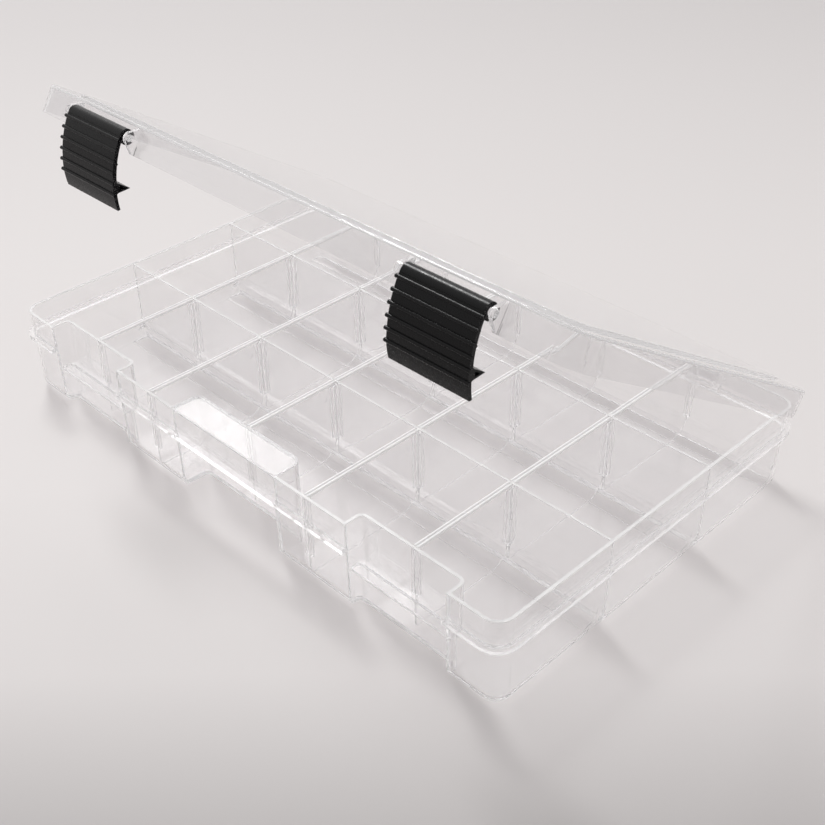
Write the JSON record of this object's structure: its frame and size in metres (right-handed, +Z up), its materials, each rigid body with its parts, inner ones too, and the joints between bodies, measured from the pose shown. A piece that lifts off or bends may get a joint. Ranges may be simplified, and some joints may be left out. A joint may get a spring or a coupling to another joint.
{
  "type": "tackle box",
  "caption": "Flat clear compartment box with a hinged lid, snap latches and lift-out dividers, for tackle, craft and small parts.",
  "frame": {"origin": "centre of the tray's underside, on the surface that the box stands on", "axes": "+X to the right along the front edge, +Y from the front with its latches to the hinge at the back, +Z up"},
  "size_m": [0.355, 0.2271, 0.1657],
  "materials": {
    "tray_clear": "clear, glossy",
    "lid_clear": "clear, glossy",
    "divider_clear": "clear, glossy",
    "latch_black": "black, satin"
  },
  "bodies": {
    "tray": {"base_tray": "tray_clear"},
    "lid": {"lid": "lid_clear"},
    "latch_left": {"latch_left": "latch_black"},
    "latch_right": {"latch_right": "latch_black"},
    "divider_front_1": {"divider_front_1": "divider_clear"},
    "divider_front_2": {"divider_front_2": "divider_clear"},
    "divider_front_3": {"divider_front_3": "divider_clear"},
    "divider_front_4": {"divider_front_4": "divider_clear"},
    "divider_front_5": {"divider_front_5": "divider_clear"},
    "divider_middle_1": {"divider_middle_1": "divider_clear"},
    "divider_middle_2": {"divider_middle_2": "divider_clear"},
    "divider_middle_3": {"divider_middle_3": "divider_clear"},
    "divider_middle_4": {"divider_middle_4": "divider_clear"},
    "divider_middle_5": {"divider_middle_5": "divider_clear"},
    "divider_back_1": {"divider_back_1": "divider_clear"},
    "divider_back_2": {"divider_back_2": "divider_clear"},
    "divider_back_3": {"divider_back_3": "divider_clear"},
    "divider_back_4": {"divider_back_4": "divider_clear"},
    "divider_back_5": {"divider_back_5": "divider_clear"}
  },
  "joints": [
    {"name": "lid_hinge", "type": "hinge", "parent": "tray", "child": "lid", "pos_m": [0, 0.1132, 0.0367], "axis": [-1, 0, 0], "range_deg": [-32, 148]},
    {"name": "latch_left_hinge", "type": "hinge", "parent": "lid", "child": "latch_left", "pos_m": [-0.116, -0.07598, 0.16175], "axis": [1, 0, 0], "range_deg": [-100, 45]},
    {"name": "latch_right_hinge", "type": "hinge", "parent": "lid", "child": "latch_right", "pos_m": [0.116, -0.07598, 0.16175], "axis": [1, 0, 0], "range_deg": [-100, 45]},
    {"name": "divider_front_1_lift", "type": "slide", "parent": "tray", "child": "divider_front_1", "axis": [0, 0, 1], "range_m": [0, 0.046]},
    {"name": "divider_front_2_lift", "type": "slide", "parent": "tray", "child": "divider_front_2", "axis": [0, 0, 1], "range_m": [0, 0.046]},
    {"name": "divider_front_3_lift", "type": "slide", "parent": "tray", "child": "divider_front_3", "axis": [0, 0, 1], "range_m": [0, 0.046]},
    {"name": "divider_front_4_lift", "type": "slide", "parent": "tray", "child": "divider_front_4", "axis": [0, 0, 1], "range_m": [0, 0.046]},
    {"name": "divider_front_5_lift", "type": "slide", "parent": "tray", "child": "divider_front_5", "axis": [0, 0, 1], "range_m": [0, 0.046]},
    {"name": "divider_middle_1_lift", "type": "slide", "parent": "tray", "child": "divider_middle_1", "axis": [0, 0, 1], "range_m": [0, 0.046]},
    {"name": "divider_middle_2_lift", "type": "slide", "parent": "tray", "child": "divider_middle_2", "axis": [0, 0, 1], "range_m": [0, 0.046]},
    {"name": "divider_middle_3_lift", "type": "slide", "parent": "tray", "child": "divider_middle_3", "axis": [0, 0, 1], "range_m": [0, 0.046]},
    {"name": "divider_middle_4_lift", "type": "slide", "parent": "tray", "child": "divider_middle_4", "axis": [0, 0, 1], "range_m": [0, 0.046]},
    {"name": "divider_middle_5_lift", "type": "slide", "parent": "tray", "child": "divider_middle_5", "axis": [0, 0, 1], "range_m": [0, 0.046]},
    {"name": "divider_back_1_lift", "type": "slide", "parent": "tray", "child": "divider_back_1", "axis": [0, 0, 1], "range_m": [0, 0.006]},
    {"name": "divider_back_2_lift", "type": "slide", "parent": "tray", "child": "divider_back_2", "axis": [0, 0, 1], "range_m": [0, 0.006]},
    {"name": "divider_back_3_lift", "type": "slide", "parent": "tray", "child": "divider_back_3", "axis": [0, 0, 1], "range_m": [0, 0.006]},
    {"name": "divider_back_4_lift", "type": "slide", "parent": "tray", "child": "divider_back_4", "axis": [0, 0, 1], "range_m": [0, 0.006]},
    {"name": "divider_back_5_lift", "type": "slide", "parent": "tray", "child": "divider_back_5", "axis": [0, 0, 1], "range_m": [0, 0.006]}
  ]
}
